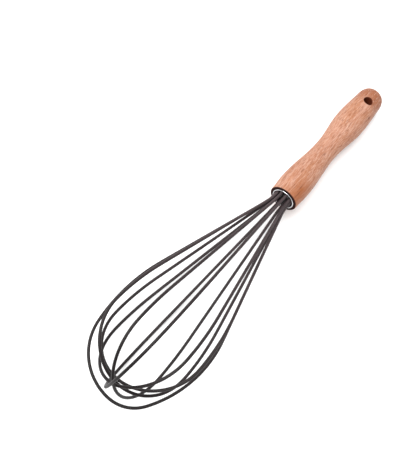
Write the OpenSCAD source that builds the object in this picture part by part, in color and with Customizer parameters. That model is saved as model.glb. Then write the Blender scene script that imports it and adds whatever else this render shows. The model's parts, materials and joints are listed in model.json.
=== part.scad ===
// Balloon whisk with a turned wooden handle, a steel ferrule and six silicone-coated wire loops.
// It lies on a flat surface, as it would on a worktop: the thick end of the handle and the lowest
// wire both touch z = 0, and the head points along +X.

/* [Handle] */
// Length of the wooden handle, from its collar to its butt
handle_length = 120; // [110:1:140]
// Radius of the handle at its collar, where the wires leave it
collar_radius = 10.3; // [9.6:0.1:11]
// Radius of the front swelling, behind the collar
front_swell_radius = 11; // [10:0.1:12]
// Radius of the waist between the two swellings
waist_radius = 8.3; // [7.5:0.1:9.5]
// Radius of the rear swelling, which sits in the palm
rear_swell_radius = 11.2; // [10:0.1:12.5]
// Radius of the small flat on the butt
butt_flat_radius = 6; // [3:0.1:7]
// Diameter of the hanging hole across the butt
hanging_hole = 6.8; // [4:0.1:8]
// Distance of the hanging hole from the butt
hanging_hole_inset = 15.5; // [13:0.5:20]
// Turn of the hanging hole about the handle's own axis, in degrees
hanging_hole_turn = 5; // [0:1:90]

/* [Ferrule] */
// Outer diameter of the steel ferrule in the collar
ferrule_outer = 16.2; // [16:0.1:17]
// Wall of the steel ferrule
ferrule_wall = 0.7; // [0.5:0.1:0.8]
// Depth of the ferrule in the handle
ferrule_depth = 24; // [20:1:30]
// How far the ferrule's rim stands out of the wood
ferrule_proud = 0.4; // [0:0.1:1]
// How far the resin that holds the wires lies below the rim
resin_recess = 5; // [3:0.5:7]

/* [Wires] */
// Diameter of a wire over its silicone coat
coat_diameter = 2; // [1.6:0.1:2]
// Diameter of the steel wire inside the coat
core_diameter = 1.2; // [0.8:0.1:1.3]
// Radius of the ring that the twelve legs make inside the ferrule
leg_ring_radius = 5.8; // [5.8:0.1:6]
// Height above the collar at which the legs begin to spread
spread_start = 4.5; // [2:0.5:6]
// Radius of the bend where a leg begins to spread
spread_bend_radius = 15; // [8:1:25]
// Sideways lean of the wire head in the ferrule, in degrees
head_lean = 1.5; // [0:0.1:2]
// Height of the outermost loop's tip above the collar
head_height = 177; // [170:0.5:185]
// Step down from one loop's tip to the tip of the next loop inside it, so that they clear
tip_step = 2.1; // [2.1:0.1:2.5]
// Radius of the long arc down the side of an evenly bent loop
side_arc_radius = 150; // [120:5:240]

/* [Hidden] */

// A bow is one side of a loop: how far it reaches from the middle line of the tip, the radius of
// its tip arc, and the radius of its long side arc. An even bow's tip arc is a quarter circle.
function even_bow(half_width) = [half_width, half_width, side_arc_radius];

// How each loop is bent, from the outermost to the innermost: azimuth about the head's axis,
// sideways shift of the tip, tilt out of the loop's own plane, and bow. The outermost loop is bent
// tighter on one side of its tip than on the other, so it has a bow for each side.
BENDS = [
    [5, 4.5, -2.5, [31, 23, 80], [37.5, 36, 125]],
    [88, 3.5, 0, even_bow(34)],
    [124, -1, -1.5, even_bow(31)],
    [49, 0.5, -0.5, even_bow(32)],
    [162, -0.5, 0.5, even_bow(33)],
    [27, 2, -1, even_bow(33)]
];

// Each loop's row: its bend, after the height of its tip above the collar.
LOOPS = [for (rank = [0 : 5]) concat([head_height - rank * tip_step], BENDS[rank])];

ferrule_inner = ferrule_outer - 2 * ferrule_wall;
// Length of each coated leg that the resin holds
coat_grip = 4;
coat_end = -resin_recess - coat_grip;
// Height of the wire ends above the ferrule's floor, its wall included
core_clearance = 3;
core_end = core_clearance - ferrule_depth;
// Place on the axis about which the wire head leans
lean_pivot = -10;
// Each stretch of a wire stops this far short of the next, and a splice joins the two
stop_short = 0.05;
// The wide part of a loop goes on below its widest point by this angle of the side arc
wide_part = 10;

// Stations of the handle, from the collar: distance as a share of the length, and radius
handle_stations = [
    [0, collar_radius],
    [0.12, front_swell_radius],
    [0.45, waist_radius],
    [0.73, rear_swell_radius],
    [1, 0.85 * rear_swell_radius]
];

// Radius of the handle at a share of its length, eased from one station to the next.
function handle_radius(share) =
    let (
        past = [for (i = [0 : len(handle_stations) - 2]) if (handle_stations[i][0] <= share) i],
        i = max(past),
        from = handle_stations[i],
        to = handle_stations[i + 1],
        way = (share - from[0]) / (to[0] - from[0])
    )
    from[1] + (to[1] - from[1]) * (1 - cos(180 * way)) / 2;

// The butt's rounding runs from this share of the length to the flat
butt_start = 0.93;
butt_start_radius = handle_radius(butt_start);
collar_round = 0.8;

// The handle's outline from the butt's flat to the collar: [radius, height]
handle_outline = concat(
    [
        for (step = [0 : 12])
            let (angle = 90 * step / 12)
            [
                butt_flat_radius + (butt_start_radius - butt_flat_radius) * sin(angle),
                -handle_length * (butt_start + (1 - butt_start) * cos(angle))
            ]
    ],
    [
        for (step = [1 : 47])
            let (share = butt_start * (1 - step / 48))
            [handle_radius(share), -handle_length * share]
    ],
    [
        for (step = [0 : 4])
            let (angle = 90 * step / 4)
            [
                collar_radius - collar_round * (1 - cos(angle)),
                -collar_round * (1 - sin(angle))
            ]
    ]
);

// ---- Lying on the worktop ----
// The tilt is found by halving: both the handle and the head must reach equally low.

head_points = [for (row = LOOPS) for (p = loop_points(row)) in_whisk(row, p)];

function handle_low(tilt) = min([for (p = handle_outline) p.y * sin(tilt) - p.x * cos(tilt)]);

function head_low(tilt) =
    min([for (p = head_points) p.x * sin(tilt) + p.z * cos(tilt)]) - coat_diameter / 2;

function find_tilt(low, high, steps) =
    let (middle = (low + high) / 2)
    steps == 0 ? middle
        : head_low(middle) < handle_low(middle) ? find_tilt(middle, high, steps - 1)
        : find_tilt(low, middle, steps - 1);

steepest_tilt = 20;
halvings = 20;
lying_tilt = find_tilt(0, steepest_tilt, halvings);
lying_low = handle_low(lying_tilt);
lying_back = min([
    for (p = handle_outline) p.y * cos(lying_tilt) - p.x * sin(lying_tilt)
]);
lying_front = max([
    for (p = head_points) p.x * cos(lying_tilt) - p.z * sin(lying_tilt)
]) + coat_diameter / 2;
head_sides = [for (p = head_points) p.y];
lying_middle = [
    (lying_back + lying_front) / 2,
    (min(head_sides) + max(head_sides)) / 2
];

// ---- The head's own frame: X and Y across, Z along the whisk, zero at the collar ----

// Angle by which a leg spreads, from the half width less the ring radius, and the height
// between the widest point and the first bend, for a straight leg tangent to both arcs.
function spread_angle(run, rise, arcs) =
    atan2(rise, arcs - run) - acos(arcs / norm([rise, arcs - run]));

// The names of what a row holds.
function tip_height(row) = row[0];
function azimuth(row) = row[1];
function tip_shift(row) = row[2];
function tilt_out(row) = row[3];
function bow(row, side) = side < 0 && len(row) > 5 ? row[5] : row[4];
function reach(row, side) = bow(row, side)[0];
function tip_radius(row, side) = bow(row, side)[1];
function side_radius(row, side) = bow(row, side)[2];

// Angle that the tip arc turns through on one side before the long side arc takes over.
function tip_turn(row, side) =
    asin(min(1,
        (side_radius(row, side) - reach(row, side))
            / (side_radius(row, side) - tip_radius(row, side))
    ));

// Middle of the tip arc of one side, in the loop's plane, with that side pointing to +X.
function tip_centre(row, side) =
    [side * tip_shift(row), tip_height(row) - tip_radius(row, side)];

// Middle of the long side arc of one side, seen in the same way.
function side_centre(row, side) =
    tip_centre(row, side) + [
        reach(row, side) - side_radius(row, side),
        (tip_radius(row, side) - side_radius(row, side)) * cos(tip_turn(row, side))
    ];

// Points along an arc, from one angle to another.
function arc_points(centre, radius, from, to) = [
    for (step = [0 : 24])
        let (angle = from + (to - from) * step / 24)
            centre + radius * [cos(angle), sin(angle)]
];

// Points along the middle of a loop's wide part, in the loop's plane.
function loop_points(row) = [
    for (side = [-1, 1])
        let (
            turn = tip_turn(row, side),
            tip = arc_points(tip_centre(row, side), tip_radius(row, side), 90 - turn, 90),
            long = arc_points(
                side_centre(row, side), side_radius(row, side), -wide_part, 90 - turn
            )
        )
            for (p = concat(tip, long))
                [side * p.x, p.y]
];

// A point of the loop's plane in the whisk's frame: +X from the butt to the tip.
function in_whisk(row, p) =
    let (
        out = p.y * sin(tilt_out(row)),
        along = p.y * cos(tilt_out(row)),
        across = p.x * cos(azimuth(row)) - out * sin(azimuth(row)),
        upward = p.x * sin(azimuth(row)) + out * cos(azimuth(row))
    )
    [
        lean_pivot + (along - lean_pivot) * cos(head_lean) + across * sin(head_lean),
        across * cos(head_lean) - (along - lean_pivot) * sin(head_lean),
        upward
    ];

// Cross-section of a wire or of its coat.
module section(outer, inner) {
    difference() {
        circle(outer, $fn = 40);
        if (inner > 0)
            circle(inner, $fn = 40);
    }
}

module arc(centre, radius, from, to, outer, inner) {
    trim = stop_short / radius * 180 / PI;
    translate([centre.x, centre.y, 0])
        rotate([0, 0, from + trim])
            rotate_extrude(angle = to - from - 2 * trim, $fn = 180)
                translate([radius, 0])
                    section(outer, inner);
}

module rod(start, end, outer, inner) {
    run = end - start;
    translate([start.x, start.y, 0])
        rotate([0, 0, atan2(run.y, run.x)])
            rotate([90, 0, 90])
                translate([0, 0, stop_short])
                    linear_extrude(norm(run) - 2 * stop_short)
                        section(outer, inner);
}

// A short slimmer length that joins two stretches of wire where they meet.
module splice(at, heading, outer, inner) {
    half = 4 * stop_short * [cos(heading), sin(heading)];
    slim = 0.03;
    rod(at - half, at + half, outer - slim, inner > 0 ? inner + slim : 0);
}

// One side of a loop, from the tip down to its lower end inside the ferrule, in the XY plane.
module leg(row, side, low_end, outer, inner) {
    turn = tip_turn(row, side);
    centre = side_centre(row, side);
    radius = side_radius(row, side);
    rise = centre.y - spread_start;
    run = centre.x + radius - leg_ring_radius;
    spread = spread_angle(run, rise, radius + spread_bend_radius);
    bend_centre = [leg_ring_radius + spread_bend_radius, spread_start];
    side_top = centre + radius * [sin(turn), cos(turn)];
    side_end = centre + radius * [cos(spread), -sin(spread)];
    bend_top = bend_centre + spread_bend_radius * [-cos(spread), sin(spread)];
    bend_end = [leg_ring_radius, spread_start];
    arc(tip_centre(row, side), tip_radius(row, side), 90 - turn, 90, outer, inner);
    arc(centre, radius, -spread, 90 - turn, outer, inner);
    rod(bend_top, side_end, outer, inner);
    arc(bend_centre, spread_bend_radius, 180 - spread, 180, outer, inner);
    rod([leg_ring_radius, low_end], bend_end, outer, inner);
    splice(side_top, 180 - turn, outer, inner);
    splice(side_end, 90 - spread, outer, inner);
    splice(bend_top, 90 - spread, outer, inner);
    splice(bend_end, 90, outer, inner);
}

// A whole loop in its own place on the head.
module wire_loop(row, low_end, outer, inner) {
    rotate([0, 0, azimuth(row)])
        rotate([-tilt_out(row), 0, 0])
            rotate([90, 0, 0]) {
                leg(row, 1, low_end, outer, inner);
                splice([tip_shift(row), tip_height(row)], 180, outer, inner);
                mirror([1, 0, 0])
                    leg(row, -1, low_end, outer, inner);
            }
}

// Both lower ends of every leg, as plain rods, to be taken out of the resin.
module leg_ends(radius, low, high) {
    for (row = LOOPS)
        for (side = [-1, 1])
            rotate([0, 0, azimuth(row)])
                rotate([-tilt_out(row), 0, 0])
                    translate([side * leg_ring_radius, 0, low])
                        cylinder(r = radius, h = high - low, $fn = 40);
}

// ---- Placing: from the head's frame to the whisk's, and from there to the worktop ----

module head_frame() {
    translate([lean_pivot, 0, 0])
        rotate([0, 0, -head_lean])
            translate([-lean_pivot, 0, 0])
                rotate([90, 0, 90])
                    children();
}

module handle_frame() {
    rotate([90, 0, 90])
        children();
}

module lying() {
    translate([-lying_middle.x, -lying_middle.y, -lying_low])
        rotate([0, -lying_tilt, 0])
            children();
}

// ---- Sub-parts ----

module handle() {
    color("burlywood")
        lying()
            difference() {
                handle_frame()
                    rotate_extrude($fn = 96)
                        polygon(concat([[0, -handle_length]], handle_outline, [[0, 0]]));
                handle_frame()
                    translate([0, 0, -ferrule_depth])
                        cylinder(d = ferrule_outer, h = ferrule_depth + 1, $fn = 96);
                rotate([hanging_hole_turn, 0, 0])
                    translate([hanging_hole_inset - handle_length, 0, -rear_swell_radius - 1])
                        cylinder(d = hanging_hole, h = 2 * rear_swell_radius + 2, $fn = 64);
            }
}

// A drawn steel cup, pressed and glued into the collar.
module ferrule() {
    color("silver")
        lying()
            handle_frame()
                difference() {
                    translate([0, 0, -ferrule_depth])
                        cylinder(d = ferrule_outer, h = ferrule_depth + ferrule_proud, $fn = 96);
                    translate([0, 0, -ferrule_depth + ferrule_wall])
                        cylinder(d = ferrule_inner, h = ferrule_depth + 1, $fn = 96);
                }
}

// Cast resin that fills the cup around the wire ends.
module resin_plug() {
    color("dimgray")
        lying()
            difference() {
                handle_frame()
                    translate([0, 0, -ferrule_depth + ferrule_wall])
                        cylinder(
                            d = ferrule_inner,
                            h = ferrule_depth - ferrule_wall - resin_recess,
                            $fn = 96
                        );
                head_frame() {
                    leg_ends(core_diameter / 2, core_end, coat_end);
                    leg_ends(coat_diameter / 2, coat_end, 0);
                }
            }
}

module wire_core(index) {
    color("gainsboro")
        lying()
            head_frame()
                wire_loop(LOOPS[index], core_end, core_diameter / 2, 0);
}

module wire_coat(index) {
    color([0.27, 0.25, 0.25])
        lying()
            head_frame()
                wire_loop(LOOPS[index], coat_end, coat_diameter / 2, core_diameter / 2);
}

handle();
ferrule();
resin_plug();
for (i = [1 : 6]) {
    wire_core(i - 1);
    wire_coat(i - 1);
}
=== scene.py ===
import json
import math

import bmesh
import bpy
from mathutils import Matrix, Vector
from mathutils.bvhtree import BVHTree


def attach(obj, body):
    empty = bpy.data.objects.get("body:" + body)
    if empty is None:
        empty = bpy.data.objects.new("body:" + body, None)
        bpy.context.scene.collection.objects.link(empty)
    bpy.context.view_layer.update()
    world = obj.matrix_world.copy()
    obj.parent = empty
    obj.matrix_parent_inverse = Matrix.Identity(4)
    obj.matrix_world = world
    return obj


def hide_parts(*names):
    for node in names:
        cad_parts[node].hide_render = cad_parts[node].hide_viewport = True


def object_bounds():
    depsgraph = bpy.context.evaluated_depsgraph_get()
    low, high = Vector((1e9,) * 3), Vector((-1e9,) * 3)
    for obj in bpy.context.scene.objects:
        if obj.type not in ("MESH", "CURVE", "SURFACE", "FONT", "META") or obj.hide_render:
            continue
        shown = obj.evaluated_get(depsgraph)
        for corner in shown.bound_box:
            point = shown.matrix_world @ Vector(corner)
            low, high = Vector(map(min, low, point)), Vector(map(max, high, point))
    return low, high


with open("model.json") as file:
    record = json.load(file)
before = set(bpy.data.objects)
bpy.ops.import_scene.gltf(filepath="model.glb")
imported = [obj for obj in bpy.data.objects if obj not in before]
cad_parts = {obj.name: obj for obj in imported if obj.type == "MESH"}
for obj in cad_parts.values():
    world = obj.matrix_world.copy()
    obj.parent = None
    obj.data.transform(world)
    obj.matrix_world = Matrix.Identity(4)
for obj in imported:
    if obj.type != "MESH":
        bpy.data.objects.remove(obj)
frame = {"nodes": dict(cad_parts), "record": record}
cad_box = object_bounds()

# Looks of a balloon whisk: a turned wooden handle, a steel ferrule, the resin in it, and six
# silicone-coated wire loops. Every piece is measured from the CAD solid that it stands for, and
# is built in the whisk's own frame: +X from the butt to the tip, +Y level, zero on the axis at
# the collar. Lengths are in metres.

MM = 0.001
LOOP_COUNT = 6

# ---- The whisk's own frame ----


def whisk_frame(hole):
    """Matrix from the whisk's own frame to the row's. The whisk's axis is level across and
    square to the hanging hole, whose middle lies on it."""
    across = Vector((0, 1, 0))
    along = across.cross(hole["axis"]).normalized()
    turn = Matrix((along, across, along.cross(across))).transposed().to_4x4()
    at_hole = Matrix.Translation(hole["pos_m"]) @ turn
    to_hole = at_hole.inverted()
    collar = max((to_hole @ v.co).x for v in frame["nodes"]["handle"].data.vertices)
    return at_hole @ Matrix.Translation((collar, 0, 0))


hole_mount = next(m for m in frame["record"]["mounts"] if m["name"] == "hanging_hole")
WHISK = whisk_frame(hole_mount)
HOLE_X = (WHISK.inverted() @ Vector(hole_mount["pos_m"])).x
HOLE_RADIUS = hole_mount["dims"]["r_mm"] * MM
hole_axis = WHISK.to_3x3().inverted() @ Vector(hole_mount["axis"])
HOLE_TURN = math.atan2(-hole_axis.y, hole_axis.z)


class CadShape:
    """A CAD node's surface in the whisk's own frame, for measuring."""

    def __init__(self, node):
        shape = bmesh.new()
        shape.from_mesh(frame["nodes"][node].data)
        shape.transform(WHISK.inverted())
        self.tree = BVHTree.FromBMesh(shape)
        self.points = [v.co.copy() for v in shape.verts]
        self.back = min(p.x for p in self.points)
        self.front = max(p.x for p in self.points)
        shape.free()

    def hit(self, start, direction):
        """First point of the surface from start along direction, or None."""
        return self.tree.ray_cast(Vector(start), Vector(direction).normalized())[0]


handle_cad = CadShape("handle")
ferrule_cad = CadShape("ferrule")
resin_cad = CadShape("resin_plug")

# ---- Mesh helpers ----


# An edge that turns by more than this many degrees stays sharp in the shading
SHARP_EDGE = 40


def make_mesh(name, points, faces):
    """Mesh from points and faces, smooth except at its sharp edges."""
    mesh = bpy.data.meshes.new(name)
    shape = bmesh.new()
    verts = [shape.verts.new(p) for p in points]
    for face in faces:
        shape.faces.new([verts[i] for i in face])
    bmesh.ops.recalc_face_normals(shape, faces=shape.faces)
    shape.to_mesh(mesh)
    shape.free()
    mesh.shade_smooth()
    mesh.set_sharp_from_angle(angle=math.radians(SHARP_EDGE))
    return mesh


def add_piece(name, mesh, material, slot, *nodes):
    """Places a mesh that was built in the whisk's own frame, in place of CAD nodes."""
    mesh.transform(WHISK)
    piece = bpy.data.objects.new(name, mesh)
    bpy.context.scene.collection.objects.link(piece)
    mesh.materials.append(material)
    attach(piece, "root")
    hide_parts(*nodes)
    return piece


def smooth_line(points, steps):
    """Points on a smooth curve through the given points, a number of steps to each stretch."""
    ends = [2 * points[0] - points[1], *points, 2 * points[-1] - points[-2]]
    line = []
    for i in range(1, len(ends) - 2):
        a, b, c, d = ends[i - 1 : i + 3]
        for step in range(steps):
            t = step / steps
            line.append(
                0.5 * (2 * b + (c - a) * t + (2 * a - 5 * b + 4 * c - d) * t * t
                       + (3 * b - 3 * c + d - a) * t ** 3)
            )
    line.append(points[-1])
    return line


def lathe(outline, segments):
    """Points, faces and rings of point numbers of a solid turned about X. The outline is
    (x, radius), closed at both ends by a point on the axis."""
    points = [(outline[0].x, 0, 0), (outline[-1].x, 0, 0)]
    rings = []
    for station in outline[1:-1]:
        ring = []
        for j in range(segments):
            angle = math.tau * j / segments
            ring.append(len(points))
            points.append(
                (station.x, station.y * math.cos(angle), station.y * math.sin(angle))
            )
        rings.append(ring)
    faces = []
    for j in range(segments):
        k = (j + 1) % segments
        faces.append((0, rings[0][j], rings[0][k]))
        faces.append((1, rings[-1][k], rings[-1][j]))
        for low, high in zip(rings, rings[1:]):
            faces.append((low[j], high[j], high[k], low[k]))
    return points, faces, rings


def rounded(centre, radius, start, end, steps):
    """Points of an arc in an outline, from one angle to another, in degrees."""
    angles = [math.radians(start + (end - start) * i / steps) for i in range(steps + 1)]
    return [centre + radius * Vector((math.cos(a), math.sin(a))) for a in angles]


# ---- Handle ----

HANDLE_SEGMENTS = 144
# Where the butt's rounding starts, as a share of the handle's length
BUTT_START = 0.93
BUTT_STEPS = 20
BODY_STEPS = 46
# How far the measuring of the collar's rounding reaches back from the end face
COLLAR_REACH = 1.6 * MM
COLLAR_STEPS = 9
# Roundings at the ferrule's mouth and at the two mouths of the hanging hole
MOUTH_ROUND = 0.25 * MM
HOLE_ROUND = 0.35 * MM
HOLE_STEPS = 6
BORE_STEPS = 12
# The skin around the hanging hole is remade this far past the hole's edge
HOLE_PATCH = 3.4 * MM
# A distance from the axis that lies outside the wood, to measure from
OUTSIDE = 50 * MM
ferrule_radius = ferrule_cad.hit((-3 * MM, OUTSIDE, 0), (0, -1, 0)).y
ferrule_depth = -ferrule_cad.back


def radius_outside(cad, x):
    """Radius of a turned CAD solid at a place along its axis."""
    return cad.hit((x, OUTSIDE, 0), (0, -1, 0)).y


def handle_outline():
    """Outline of the wood, measured on the CAD solid clear of its hanging hole: the butt, the
    body, the rounded collar, the end face and the bore for the ferrule."""
    butt_x = handle_cad.back
    butt_centre = Vector((butt_x * BUTT_START, 0, 0))
    butt = []
    for step in range(1, BUTT_STEPS):
        angle = math.radians(90 * step / BUTT_STEPS)
        hit = handle_cad.hit(butt_centre, (-math.cos(angle), math.sin(angle), 0))
        butt.append(Vector((hit.x, hit.y)))
    body = []
    for step in range(1, BODY_STEPS):
        x = butt_centre.x + (-COLLAR_REACH - butt_centre.x) * step / BODY_STEPS
        body.append(Vector((x, radius_outside(handle_cad, x))))
    collar_radius = radius_outside(handle_cad, -COLLAR_REACH)
    collar_centre = Vector((-COLLAR_REACH, collar_radius - COLLAR_REACH, 0))
    collar = []
    for step in range(COLLAR_STEPS):
        angle = math.radians(90 - 90 * step / COLLAR_STEPS)
        direction = Vector((math.cos(angle), math.sin(angle), 0))
        hit = handle_cad.hit(collar_centre + 20 * MM * direction, -direction)
        collar.append(Vector((hit.x, hit.y)))
    profile = smooth_line([Vector((butt_x, butt[0].y * 0.5)), *butt, *body, *collar], 3)
    mouth = rounded(
        Vector((-MOUTH_ROUND, ferrule_radius + MOUTH_ROUND)), MOUTH_ROUND, 0, -90, 4
    )
    face = [Vector((0, ferrule_radius + across * MM)) for across in (1.2, 0.7)]
    bore = [Vector((x * MM, ferrule_radius)) for x in (-2, -8, -16)]
    floor = [Vector((-ferrule_depth, ferrule_radius)), Vector((-ferrule_depth, 0))]
    return [Vector((butt_x, 0)), *profile, *face, *mouth, *bore, *floor]


def radius_at(profile, x):
    """Radius of the wood's skin at a place along the axis."""
    for low, high in zip(profile, profile[1:]):
        if low.x <= x <= high.x:
            return low.y + (high.y - low.y) * (x - low.x) / (high.x - low.x)
    return profile[0].y


def skin_point(profile, x, y, side):
    """Point of the skin over a place in the XY plane, on the upper (1) or lower (-1) side."""
    return Vector((x, y, side * math.sqrt(radius_at(profile, x) ** 2 - y * y)))


def around(j, side):
    """Number of a grid line around the handle, or of its mirror image on the lower side."""
    return j if side > 0 else -j % HANDLE_SEGMENTS


def patch_limits(outline, profile):
    """The patch of skin around the hole: its first and last grid lines along the handle, and
    around it."""
    reach = HOLE_RADIUS + HOLE_PATCH
    grid = list(enumerate(outline[1:-1]))
    first = min(i for i, p in grid if p.x > HOLE_X - reach)
    last = max(i for i, p in grid if p.x < HOLE_X + reach and p.y > ferrule_radius)
    quarter = HANDLE_SEGMENTS // 4
    half = round(math.asin(reach / radius_at(profile, HOLE_X)) / math.tau * HANDLE_SEGMENTS)
    return first, last, quarter - half, quarter + half


def patch_border(first, last, low, high):
    """Grid places along the patch's border, in order."""
    border = [(i, low) for i in range(first, last)]
    border += [(last, j) for j in range(low, high)]
    border += [(i, high) for i in range(last, first, -1)]
    border += [(first, j) for j in range(high, low, -1)]
    return border


def without_patches(faces, rings, first, last, low, high):
    """The faces, less those of the upper and the lower patch."""
    inside = set()
    for i in range(first, last):
        for j in range(low, high):
            cell = [(i, j), (i, j + 1), (i + 1, j), (i + 1, j + 1)]
            for side in (1, -1):
                inside.add(frozenset(rings[a][around(b, side)] for a, b in cell))
    return [f for f in faces if frozenset(f) not in inside]


def join_rings(faces, ring, next_ring):
    """Adds the faces between two rings of point numbers."""
    for k in range(len(ring)):
        m = (k + 1) % len(ring)
        faces.append((ring[k], ring[m], next_ring[m], next_ring[k]))


def add_ring(points, faces, previous, places):
    """Adds a ring of points, joined to the one before, and gives its point numbers."""
    ring = list(range(len(points), len(points) + len(places)))
    points.extend(places)
    join_rings(faces, previous, ring)
    return ring


def add_mouth(points, faces, ring, profile, side):
    """Adds the skin from the patch's border to the hole, and the rounding of the hole's mouth.
    Gives the ring where the straight bore begins."""
    centre = Vector((HOLE_X, 0))
    offsets = [Vector(points[p][:2]) - centre for p in ring]
    rim = HOLE_RADIUS + HOLE_ROUND
    for share in (0.25, 0.5, 0.72, 0.88, 1):
        flat = [centre + offset.lerp(offset.normalized() * rim, share) for offset in offsets]
        places = [skin_point(profile, p.x, p.y, side) for p in flat]
        ring = add_ring(points, faces, ring, places)
    for step in range(1, HOLE_STEPS + 1):
        angle = math.radians(90 * step / HOLE_STEPS)
        places = []
        for offset in offsets:
            way = offset.normalized() * (rim - HOLE_ROUND * math.sin(angle))
            place = skin_point(profile, HOLE_X + way.x, way.y, side)
            place.z -= side * HOLE_ROUND * (1 - math.cos(angle))
            places.append(place)
        ring = add_ring(points, faces, ring, places)
    return ring


def add_bore(points, faces, upper, lower):
    """Adds the straight bore between two rings."""
    ring = upper
    for step in range(1, BORE_STEPS):
        places = [
            Vector(points[a]).lerp(Vector(points[b]), step / BORE_STEPS)
            for a, b in zip(upper, lower)
        ]
        ring = add_ring(points, faces, ring, places)
    join_rings(faces, ring, lower)


def handle_mesh():
    """The turned wood with its cross hole, whose two mouths are rounded over. It is built with
    the hole upright and then turned to the hole's own angle."""
    outline = handle_outline()
    points, faces, rings = lathe(outline, HANDLE_SEGMENTS)
    profile = [p for p in outline[1:] if p.x < -2 * MM and p.y > ferrule_radius * 1.01]
    limits = patch_limits(outline, profile)
    faces = without_patches(faces, rings, *limits)
    mouths = []
    for side in (1, -1):
        border = [rings[i][around(j, side)] for i, j in patch_border(*limits)]
        mouths.append(add_mouth(points, faces, border, profile, side))
    add_bore(points, faces, *mouths)
    used = sorted(set(i for f in faces for i in f))
    number = {old: new for new, old in enumerate(used)}
    faces = [tuple(number[i] for i in f) for f in faces]
    mesh = make_mesh("handle_wood", [points[i] for i in used], faces)
    mesh.transform(Matrix.Rotation(HOLE_TURN, 4, "X"))
    return mesh


# ---- Ferrule and resin ----

CUP_SEGMENTS = 96
BASE_ROUND = 1.2 * MM
# The resin's skin sags below its own level by the first of these, and creeps up the ferrule's
# wall and the wires by the second, fading over the third
RESIN_SAG = 0.4 * MM
RESIN_CREEP = 0.9 * MM
RESIN_FADE = 0.45 * MM
RESIN_RINGS = 30
# So many points from each end of a wire, it has passed the resin's surface
LEG_POINTS = 40
ferrule_bore = ferrule_cad.hit((-1 * MM, 0, 0), (0, 1, 0)).y
resin_front = resin_cad.front


def ferrule_mesh():
    """The drawn cup: a rounded base, a straight wall and a rolled rim."""
    wall = ferrule_radius - ferrule_bore
    back, front = ferrule_cad.back, ferrule_cad.front
    base_centre = Vector((back + BASE_ROUND, ferrule_radius - BASE_ROUND))
    outer = rounded(base_centre, BASE_ROUND, 180, 90, 6)
    rim = rounded(Vector((front - wall / 2, ferrule_radius - wall / 2)), wall / 2, 90, -90, 8)
    inner = [Vector((x, ferrule_bore)) for x in (-1 * MM, resin_front, -12 * MM)]
    floor = [Vector((back + wall, ferrule_bore - 0.3 * MM)), Vector((back + wall, 0))]
    outline = [Vector((back, 0)), *outer, Vector((-8 * MM, ferrule_radius)), *rim, *inner, *floor]
    points, faces, _ = lathe(outline, CUP_SEGMENTS)
    return make_mesh("ferrule_steel", points, faces)


def resin_mesh(wires, coat_radius):
    """The cast resin. Its surface creeps up the ferrule's wall and round each wire."""
    back = resin_cad.back
    radius = ferrule_bore
    legs = []
    for path in wires:
        for end in (path[:LEG_POINTS], path[-LEG_POINTS:]):
            legs.append(min(end, key=lambda p: abs(p.x - resin_front)))
    radii = [radius * (1 - 0.93 * (i / RESIN_RINGS) ** 1.2) for i in range(RESIN_RINGS + 1)]
    outline = [Vector((back, 0)), Vector((back, radius * 0.98)), Vector((back + 0.3 * MM, radius))]
    outline += [Vector((resin_front, r)) for r in radii] + [Vector((resin_front, 0))]
    points, faces, rings = lathe(outline, CUP_SEGMENTS)
    for ring in rings[2:]:
        for i in ring:
            x, y, z = points[i]
            gap = radius - math.hypot(y, z)
            near = min(math.hypot(y - p.y, z - p.z) for p in legs) - coat_radius
            lift = math.exp(-gap / RESIN_FADE) + math.exp(-max(near, 0) / RESIN_FADE)
            points[i] = (x - RESIN_SAG + RESIN_CREEP * min(lift, 1.2), y, z)
    points[1] = (resin_front - RESIN_SAG, 0, 0)
    return make_mesh("resin_cast", points, faces)


# ---- Wires ----

PATH_STEP = 1.2 * MM
# The walk through a wire starts this far inside its end face
END_INSET = 0.2 * MM
# Points nearer than this to one another belong to the same end of a wire
SAME_END = 3 * MM
WIRE_SIDES = 20
EASING_ROUNDS = 6


def centre_line(node):
    """Points along the middle of a wire, found by walking through its CAD solid from one lower
    end to the other, and the wire's radius."""
    wire = CadShape(node)
    low_end = [p for p in wire.points if p.x < wire.back + END_INSET]
    one_side = [p for p in low_end if (p - low_end[0]).length < SAME_END]
    place = sum(one_side, Vector()) / len(one_side)
    heading = Vector((1, 0, 0))
    place += END_INSET * heading
    path = []
    while True:
        across = heading.orthogonal().normalized()
        for side in (across, heading.cross(across)):
            ahead, behind = wire.hit(place, side), wire.hit(place, -side)
            if ahead is None or behind is None:
                raise ValueError(f"the walk through {node} left the wire")
            place = place + ((ahead + behind) / 2 - place).dot(side) * side
            radius = (ahead - behind).length / 2
        if path:
            heading = (place - path[-1]).normalized()
        path.append(place.copy())
        end = wire.hit(place, heading)
        if (end - place).length < PATH_STEP * 1.5 and place.x < 0:
            path.append(end)
            path[0] = path[0] - END_INSET * Vector((1, 0, 0))
            return path, radius
        place = place + PATH_STEP * heading


def relaxed(path, rounds):
    """The path with its abrupt changes of curvature eased, as in a real spring wire."""
    for _ in range(rounds):
        path = [
            path[0],
            *[(a + 2 * b + c) / 4 for a, b, c in zip(path, path[1:], path[2:])],
            path[-1],
        ]
    return path


def swept_rings(path, radius):
    """Rings of points around a path, without twist."""
    rings = []
    across = None
    for i, place in enumerate(path):
        ahead = path[min(i + 1, len(path) - 1)]
        heading = (ahead - path[max(i - 1, 0)]).normalized()
        if across is None:
            across = heading.orthogonal()
        across = (across - across.dot(heading) * heading).normalized()
        side = heading.cross(across)
        ring = []
        for j in range(WIRE_SIDES):
            angle = math.tau * j / WIRE_SIDES
            ring.append(place + radius * (math.cos(angle) * across + math.sin(angle) * side))
        rings.append(ring)
    return rings


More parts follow.
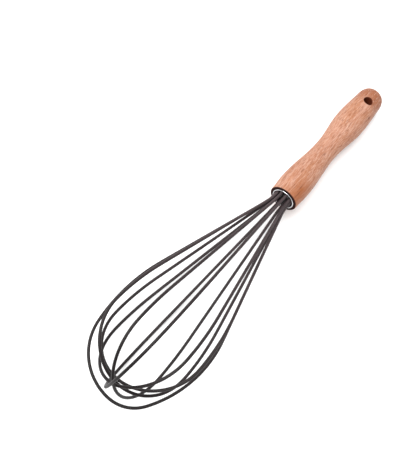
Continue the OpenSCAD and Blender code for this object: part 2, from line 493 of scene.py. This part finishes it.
def tube(rings, closed):
    """Points and faces of a skin over rings. Closed joins the last ring to the first;
    otherwise both ends are capped."""
    points = [p for ring in rings for p in ring]
    count = len(rings)
    faces = []
    for i in range(count if closed else count - 1):
        for j in range(WIRE_SIDES):
            k = (j + 1) % WIRE_SIDES
            low, high = i * WIRE_SIDES, (i + 1) % count * WIRE_SIDES
            faces.append((low + j, low + k, high + k, high + j))
    if not closed:
        faces.append(tuple(range(WIRE_SIDES)))
        faces.append(tuple(range((count - 1) * WIRE_SIDES, count * WIRE_SIDES)))
    return points, faces


def coat_mesh(name, path, inner, outer):
    """The coat as a long tube, with its bore."""
    rings = swept_rings(path, outer) + swept_rings(path, inner)[::-1]
    return make_mesh(name, *tube(rings, True))


def core_mesh(name, path, radius):
    """The steel wire as a long round rod."""
    return make_mesh(name, *tube(swept_rings(path, radius), False))


# ---- Materials ----

PALE_WOOD = (0.43, 0.23, 0.16, 1)
WARM_WOOD = (0.38, 0.175, 0.1, 1)
RED_WOOD = (0.26, 0.09, 0.04, 1)
LIGHT_FIBRE = (0.5, 0.31, 0.23, 1)
HEARTWOOD = (0.27, 0.08, 0.024, 1)
DARK_PORE = (0.12, 0.035, 0.017, 1)
# Painted shade for the handle's +Y side, where less light falls
SIDE_PAINTED_SHADE = (0.31, 0.115, 0.05, 1)
BUTT_WOOD = (0.24, 0.075, 0.03, 1)
# Painted shade for the collar's end face
END_FACE_PAINTED_SHADE = (0.018, 0.0035, 0.0025, 1)
# Painted shade for the wall of the hanging hole
HOLE_PAINTED_SHADE = (0.12, 0.026, 0.01, 1)
BRIGHT_STEEL = (0.75, 0.75, 0.76, 1)
DULL_STEEL = (0.62, 0.62, 0.64, 1)
BRIGHT_WIRE = (0.55, 0.55, 0.57, 1)
DULL_WIRE = (0.42, 0.42, 0.44, 1)
DARK_RESIN = (0.03, 0.025, 0.025, 1)
LIGHT_RESIN = (0.075, 0.065, 0.06, 1)
CLEAN_SILICONE = (0.006, 0.004, 0.0042, 1)
DUSTY_SILICONE = (0.058, 0.042, 0.044, 1)
FLOOR_GREY = (0.93, 0.93, 0.93, 1)
FLOOR_WHITE = (0.95, 0.95, 0.95, 1)


class Material:
    """A node material: each call adds a node and gives back its output."""

    def __init__(self, name):
        self.made = bpy.data.materials.new(name)
        self.made.use_nodes = True
        self.tree = self.made.node_tree
        self.shader = self.tree.nodes["Principled BSDF"]
        in_row = self.tree.nodes.new("ShaderNodeTexCoord").outputs["Object"]
        lying = {"Vector": in_row, "Location": WHISK.translation, "Rotation": WHISK.to_euler()}
        self.place = self.add("Mapping", lying, vector_type="TEXTURE")

    def add(self, kind, inputs, output=0, **settings):
        """Adds a node of a kind. An input is a value or another node's output."""
        node = self.tree.nodes.new("ShaderNode" + kind)
        for key, value in settings.items():
            setattr(node, key, value)
        for key, value in inputs.items():
            if isinstance(value, bpy.types.NodeSocket):
                self.tree.links.new(value, node.inputs[key])
            else:
                node.inputs[key].default_value = value
        return node.outputs[output]

    def stretch(self, scale, shift=(0, 0, 0)):
        """The place in the object, scaled along each axis."""
        return self.add("Mapping", {"Vector": self.place, "Scale": scale, "Location": shift})

    def noise(self, vector, scale, detail=3, rough=0.5, bend=0):
        """Cloudy noise from 0 to 1, with its scale in cycles to the metre."""
        inputs = {"Vector": vector, "Scale": scale, "Detail": detail, "Roughness": rough}
        inputs["Distortion"] = bend
        return self.add("TexNoise", inputs)

    def between(self, value, low, high, out_low=0, out_high=1):
        """The value's stretch from low to high, as out_low to out_high."""
        inputs = {"Value": value, "From Min": low, "From Max": high}
        inputs.update({"To Min": out_low, "To Max": out_high})
        return self.add("MapRange", inputs)

    def math(self, operation, a, b=0):
        return self.add("Math", {0: a, 1: b}, operation=operation)

    def mix(self, share, a, b, blend="MIX"):
        inputs = {0: share, 6: a, 7: b}
        return self.add("Mix", inputs, 2, data_type="RGBA", blend_type=blend)

    def near(self, centre, reach, ripple):
        """One at a place, fading to zero at a reach along each axis, with a rippled edge."""
        inputs = {"Vector": self.place, "Location": centre, "Scale": reach}
        offset = self.add("Mapping", inputs, vector_type="TEXTURE")
        away = self.add("VectorMath", {0: offset}, 1, operation="LENGTH")
        away = self.math("ADD", away, self.between(ripple, 0.2, 0.8, -0.35, 0.35))
        return self.between(away, 1.1, 0.35)

    def finish(self, colour, roughness, bumps):
        """Joins colour, roughness and a list of (height, distance) bumps to the shader."""
        normal = None
        for height, distance in bumps:
            inputs = {"Height": height, "Distance": distance, "Strength": 1}
            if normal is not None:
                inputs["Normal"] = normal
            normal = self.add("Bump", inputs)
        self.tree.links.new(colour, self.shader.inputs["Base Color"])
        self.tree.links.new(roughness, self.shader.inputs["Roughness"])
        if normal is not None:
            self.tree.links.new(normal, self.shader.inputs["Normal"])
        return self.made


def wood_material():
    """Oiled, sanded hardwood: growth bands, fine fibres, short dark pores, patchy painted shade on
    the +Y side, a streak of heartwood behind the collar, a pin knot, a butt that soaked up more
    oil, and painted shade in the hanging hole and on the collar's end face."""
    wood = Material("oiled_wood")
    wood.shader.inputs["Specular IOR Level"].default_value = 0.2
    bands = wood.noise(wood.stretch((0.1, 1, 1), (0.02, 0, 0)), 170, 3, 0.5, 0.4)
    patches = wood.noise(wood.stretch((0.35, 1, 1), (0.013, 0.02, 0)), 75, 3, 0.6)
    fibres = wood.noise(wood.stretch((0.07, 1, 1)), 1250, 6, 0.75, 0.3)
    flecks = wood.noise(wood.stretch((0.16, 1, 1), (0.3, 0, 0)), 1700, 3, 0.6)
    pores = wood.noise(wood.stretch((0.1, 1, 1), (0, 0.4, 0.2)), 1300, 2, 0.5)
    pore_mask = wood.between(pores, 0.6, 0.66)
    axes = wood.add("SeparateXYZ", {"Vector": wood.place})
    along, sideways = axes, axes.node.outputs["Y"]
    # Painted shade: the +Y side of the handle is darkened and reddened in patches, for the shade
    # on that side
    side_painted_shade = wood.between(sideways, 1 * MM, 10 * MM, 0, 0.55)
    patchy_side_painted_shade = wood.math("MULTIPLY", side_painted_shade, wood.math("ADD", patches, 0.5))
    colour = wood.mix(wood.between(bands, 0.4, 0.62), PALE_WOOD, WARM_WOOD)
    colour = wood.mix(wood.between(patches, 0.46, 0.68, 0, 0.38), colour, RED_WOOD)
    colour = wood.mix(patchy_side_painted_shade, colour, SIDE_PAINTED_SHADE)
    colour = wood.mix(wood.between(along, -98 * MM, -110 * MM, 0, 0.95), colour, BUTT_WOOD)
    colour = wood.mix(wood.between(fibres, 0.49, 0.6, 0, 0.6), colour, RED_WOOD)
    colour = wood.mix(wood.between(fibres, 0.48, 0.38, 0, 0.62), colour, LIGHT_FIBRE)
    colour = wood.mix(wood.between(flecks, 0.52, 0.64, 0, 0.45), colour, RED_WOOD)
    colour = wood.mix(wood.between(flecks, 0.46, 0.36, 0, 0.3), colour, LIGHT_FIBRE)
    streak = wood.near((-6 * MM, 5 * MM, 8.5 * MM), (15 * MM, 9 * MM, 7 * MM), patches)
    colour = wood.mix(wood.math("MULTIPLY", streak, 0.8), colour, HEARTWOOD)
    colour = wood.mix(wood.math("MULTIPLY", pore_mask, 0.5), colour, DARK_PORE)
    knot = wood.near((-95 * MM, 7.8 * MM, 7.8 * MM), (1.5 * MM, 1.1 * MM, 1.1 * MM), patches)
    colour = wood.mix(knot, colour, DARK_PORE)
    beside_hole = (0, math.cos(HOLE_TURN), math.sin(HOLE_TURN))
    across = wood.add("VectorMath", {0: wood.place, 1: beside_hole}, 1, operation="DOT_PRODUCT")
    to_hole = wood.math(
        "SQRT",
        wood.math(
            "ADD",
            wood.math("POWER", wood.math("SUBTRACT", along, HOLE_X), 2),
            wood.math("POWER", across, 2),
        ),
    )
    # Painted shade: the hanging hole's wall is painted dark, for the shade inside it
    in_hole = wood.between(to_hole, HOLE_RADIUS + 0.4 * MM, HOLE_RADIUS + 0.1 * MM)
    # Painted shade: the collar's end face is painted near black
    end_face = wood.between(along, -0.45 * MM, -0.15 * MM)
    colour = wood.mix(in_hole, colour, HOLE_PAINTED_SHADE)
    colour = wood.mix(end_face, colour, END_FACE_PAINTED_SHADE)
    roughness = wood.between(fibres, 0.3, 0.7, 0.42, 0.6)
    roughness = wood.math("MAXIMUM", roughness, end_face)
    bumps = [(wood.math("MULTIPLY", pore_mask, -1), 0.00006), (fibres, 0.00005)]
    return wood.finish(colour, roughness, bumps)


def steel_material():
    """Drawn stainless steel, with fine lines round the cup."""
    steel = Material("drawn_steel")
    steel.shader.inputs["Metallic"].default_value = 1
    lines = steel.noise(steel.stretch((1, 0.05, 0.05)), 6000, 2)
    tone = steel.noise(steel.place, 400, 2)
    colour = steel.mix(tone, BRIGHT_STEEL, DULL_STEEL)
    roughness = steel.between(lines, 0.3, 0.7, 0.08, 0.2)
    return steel.finish(colour, roughness, [(lines, 0.000008)])


def core_material():
    """Bright drawn spring wire."""
    steel = Material("spring_wire")
    steel.shader.inputs["Metallic"].default_value = 1
    scratches = steel.noise(steel.stretch((0.1, 1, 1)), 4000, 2)
    colour = steel.mix(scratches, BRIGHT_WIRE, DULL_WIRE)
    return steel.finish(colour, steel.between(scratches, 0.3, 0.7, 0.25, 0.4), [])


def resin_material():
    """Dark cast resin with small bubbles and a dull skin."""
    resin = Material("cast_resin")
    bubbles = resin.add("TexVoronoi", {"Vector": resin.place, "Scale": 1400})
    tone = resin.noise(resin.place, 500, 3)
    colour = resin.mix(tone, DARK_RESIN, LIGHT_RESIN)
    pits = resin.between(bubbles, 0.05, 0.25)
    return resin.finish(colour, resin.between(tone, 0.3, 0.7, 0.3, 0.5), [(pits, 0.00005)])


def silicone_material():
    """Matte dark silicone with a faint moulded grain, lighter places of dust, and darker towards
    the tip."""
    silicone = Material("silicone_coat")
    silicone.shader.inputs["Specular IOR Level"].default_value = 0.2
    grain = silicone.noise(silicone.place, 2600, 3, 0.6)
    dust = silicone.noise(silicone.place, 90, 4, 0.6)
    along = silicone.add("SeparateXYZ", {"Vector": silicone.place})
    # Darker towards the tip: the share of the lighter dust colour fades out along the whisk to the
    # tip
    dust_and_tip_darkening = silicone.math(
        "MULTIPLY",
        silicone.between(dust, 0.35, 0.65, 0.6, 1),
        silicone.between(along, 175 * MM, 0, 0, 1),
    )
    colour = silicone.mix(dust_and_tip_darkening, CLEAN_SILICONE, DUSTY_SILICONE)
    roughness = silicone.between(dust_and_tip_darkening, 0, 1, 0.42, 0.6)
    return silicone.finish(colour, roughness, [(grain, 0.00002)])


def floor_material():
    """A pale, matte, faintly cloudy studio floor."""
    floor = Material("pale_floor")
    tone = floor.noise(floor.place, 3, 2)
    colour = floor.mix(tone, FLOOR_GREY, FLOOR_WHITE)
    return floor.finish(colour, floor.between(tone, 0, 1, 0.8, 0.9), [])


# ---- Building ----

wood = wood_material()
steel = steel_material()
core_steel = core_material()
resin = resin_material()
silicone = silicone_material()

walks = [centre_line(f"wire_core_{index}") for index in range(1, LOOP_COUNT + 1)]
wires = [relaxed(line, EASING_ROUNDS) for line, _ in walks]
core_radius = walks[-1][1]

# The coat's thickness: from its bore, straight up to its outside
coat_cad = CadShape("wire_coat_1")
UP = Vector((0, 0, 1))
bore_wall = coat_cad.hit(wires[0][len(wires[0]) // 2], UP)
outside = coat_cad.hit(bore_wall + 0.01 * MM * UP, UP)
coat_radius = core_radius + (outside - bore_wall).length

for index, line in enumerate(wires, 1):
    core = core_mesh(f"core_{index}", line, core_radius)
    add_piece(f"spring_core_{index}", core, core_steel, "core_steel", f"wire_core_{index}")
    coated = [p for p in line if p.x > coat_cad.back]
    coat = coat_mesh(f"coat_{index}", coated, core_radius, coat_radius)
    add_piece(f"silicone_coat_{index}", coat, silicone, "silicone", f"wire_coat_{index}")

add_piece("turned_handle", handle_mesh(), wood, "wood", "handle")
add_piece("ferrule_cup", ferrule_mesh(), steel, "steel", "ferrule")
add_piece("resin_fill", resin_mesh(wires, coat_radius), resin, "resin", "resin_plug")

# ---- Camera, floor and light ----

# The camera's place and the way it looks, in the whisk's own frame
VIEW_PLACE = Vector((0.2925, -0.0228, 0.4547))
VIEW_AZIMUTH = 91.4
VIEW_ELEVATION = 62.6
VIEW_ROLL = 41.4
# Sensor width and focal length, in millimetres
SENSOR = 36
LENS = 64
NEAR_CLIP = 10 * MM
FLOOR_HALF = 3
# The floor lies this far under the whisk
FLOOR_GAP = 0.1 * MM
KEY_PLACE = (0.15, -0.45, 1.15)
KEY_SIZE = 1.1
KEY_POWER = 24
WORLD_STRENGTH = 0.85


def footprint_middle():
    """Middle of the CAD box's foot, on the surface that the whisk lies on."""
    low, high = cad_box
    return Vector(((low.x + high.x) / 2, (low.y + high.y) / 2, low.z))


def add_camera():
    azimuth, elevation, roll = map(math.radians, (VIEW_AZIMUTH, VIEW_ELEVATION, VIEW_ROLL))
    flat = math.cos(elevation)
    back = Vector((math.sin(azimuth) * flat, -math.cos(azimuth) * flat, math.sin(elevation)))
    right = Vector((math.cos(azimuth), math.sin(azimuth), 0))
    up = back.cross(right)
    turned_right = right * math.cos(roll) + up * math.sin(roll)
    turned_up = back.cross(turned_right)
    camera = bpy.data.objects.new("camera", bpy.data.cameras.new("camera"))
    bpy.context.scene.collection.objects.link(camera)
    turn = Matrix((turned_right, turned_up, back)).transposed().to_4x4()
    camera.matrix_world = WHISK @ Matrix.Translation(VIEW_PLACE) @ turn
    camera.data.sensor_width = SENSOR
    camera.data.lens = LENS
    camera.data.clip_start = NEAR_CLIP
    bpy.context.scene.camera = camera


def add_light(name, place, size, power):
    """A square white area light at a place from the footprint's middle, aimed back at it."""
    light = bpy.data.lights.new(name, "AREA")
    light.size = size
    light.energy = power
    lamp = bpy.data.objects.new(name, light)
    bpy.context.scene.collection.objects.link(lamp)
    lamp.location = footprint_middle() + Vector(place)
    lamp.rotation_mode = "QUATERNION"
    lamp.rotation_quaternion = (-Vector(place)).to_track_quat("-Z", "Y")


def add_floor():
    middle = footprint_middle()
    corners = [(-1, -1), (1, -1), (1, 1), (-1, 1)]
    points = [middle + Vector((x * FLOOR_HALF, y * FLOOR_HALF, -FLOOR_GAP)) for x, y in corners]
    mesh = bpy.data.meshes.new("floor")
    mesh.from_pydata(points, [], [(0, 1, 2, 3)])
    mesh.materials.append(floor_material())
    floor = bpy.data.objects.new("floor", mesh)
    bpy.context.scene.collection.objects.link(floor)


def add_world():
    world = bpy.data.worlds.new("studio")
    world.use_nodes = True
    background = world.node_tree.nodes["Background"]
    background.inputs["Color"].default_value = (1, 1, 1, 1)
    background.inputs["Strength"].default_value = WORLD_STRENGTH
    bpy.context.scene.world = world
    bpy.context.scene.view_settings.view_transform = "Standard"


add_camera()
add_light("key", KEY_PLACE, KEY_SIZE, KEY_POWER)
add_floor()
add_world()
